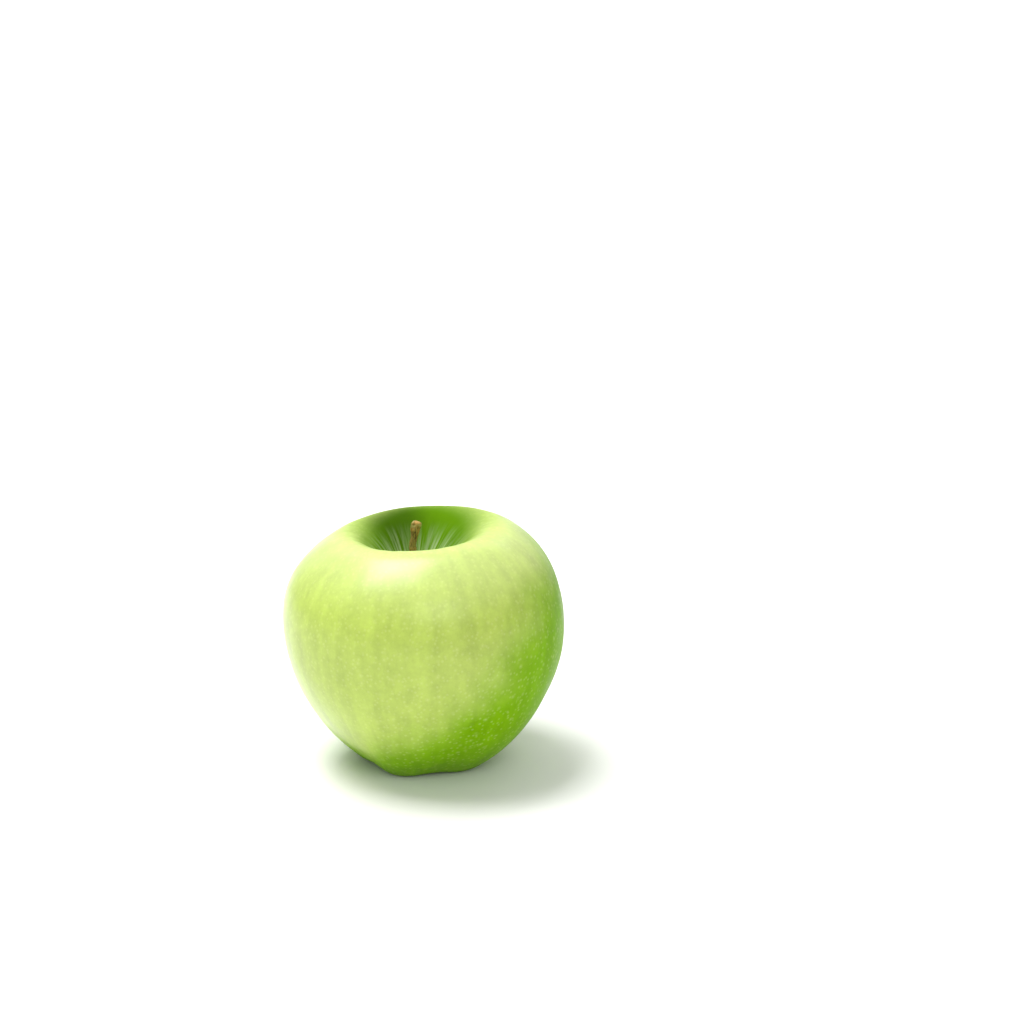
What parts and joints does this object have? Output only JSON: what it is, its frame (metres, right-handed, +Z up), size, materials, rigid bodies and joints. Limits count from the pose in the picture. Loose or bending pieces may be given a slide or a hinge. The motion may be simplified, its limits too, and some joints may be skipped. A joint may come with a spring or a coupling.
{
  "type": "apple",
  "caption": "Whole green apple with its stem and dried calyx, standing on the blunt lobes round its underside.",
  "frame": {"origin": "on the surface that the fruit stands on, under the middle of the fruit's box", "axes": "+Z up, out of the stem hollow; -Y is the front; +X is the fuller and slightly higher cheek. The core's axis is parallel to Z at x = -0.0024 m"},
  "size_m": [0.0748, 0.0748, 0.0666],
  "materials": {
    "green_skin": "smooth waxy yellow-green skin with fine pale lenticels and a soft gloss",
    "stem_bark": "dry brown woody stalk, rough, with a paler scar on the knob",
    "withered_sepal": "dark brown withered leaf, dry and matte",
    "dry_stamen": "tan dry filaments, matte"
  },
  "bodies": {
    "root": {"fruit": "green_skin", "stem": "stem_bark", "sepal_1": "withered_sepal", "sepal_2": "withered_sepal", "sepal_3": "withered_sepal", "sepal_4": "withered_sepal", "sepal_5": "withered_sepal", "stamen_tuft": "dry_stamen"}
  },
  "joints": []
}
